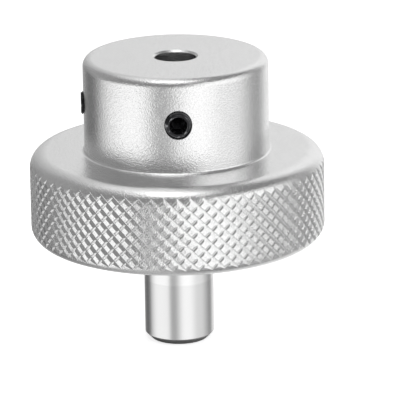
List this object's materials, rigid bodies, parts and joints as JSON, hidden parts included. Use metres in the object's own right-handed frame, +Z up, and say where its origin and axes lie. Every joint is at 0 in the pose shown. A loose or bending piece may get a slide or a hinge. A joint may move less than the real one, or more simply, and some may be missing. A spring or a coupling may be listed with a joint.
{
  "type": "machine handwheel",
  "caption": "Small knurled handwheel with a plain hub, blind shaft bore, radial grub screws in the hub and a chamfered spigot below.",
  "frame": {"origin": "centre of the spigot's flat end, which is the lowest point", "axes": "+Z up the wheel's turning axis, from the spigot to the hub; -Y towards the front grub screw; -X towards the side grub screw"},
  "size_m": [0.045, 0.045, 0.0447],
  "materials": {
    "blasted_aluminium": "bead-blasted and clear anodised, satin",
    "turned_steel": "bright, fine turned",
    "black_oxide_steel": "black oxide, satin"
  },
  "bodies": {
    "wheel": {"knurled_wheel": "blasted_aluminium", "spigot": "turned_steel"},
    "front_screw": {"front_grub_screw": "black_oxide_steel"},
    "side_screw": {"side_grub_screw": "black_oxide_steel"}
  },
  "joints": [
    {"name": "front_screw_travel", "type": "slide", "parent": "wheel", "child": "front_screw", "axis": [0, 1, 0], "range_m": [-0.0035, 0.0052]},
    {"name": "side_screw_travel", "type": "slide", "parent": "wheel", "child": "side_screw", "axis": [1, 0, 0], "range_m": [-0.0035, 0.0052]}
  ]
}
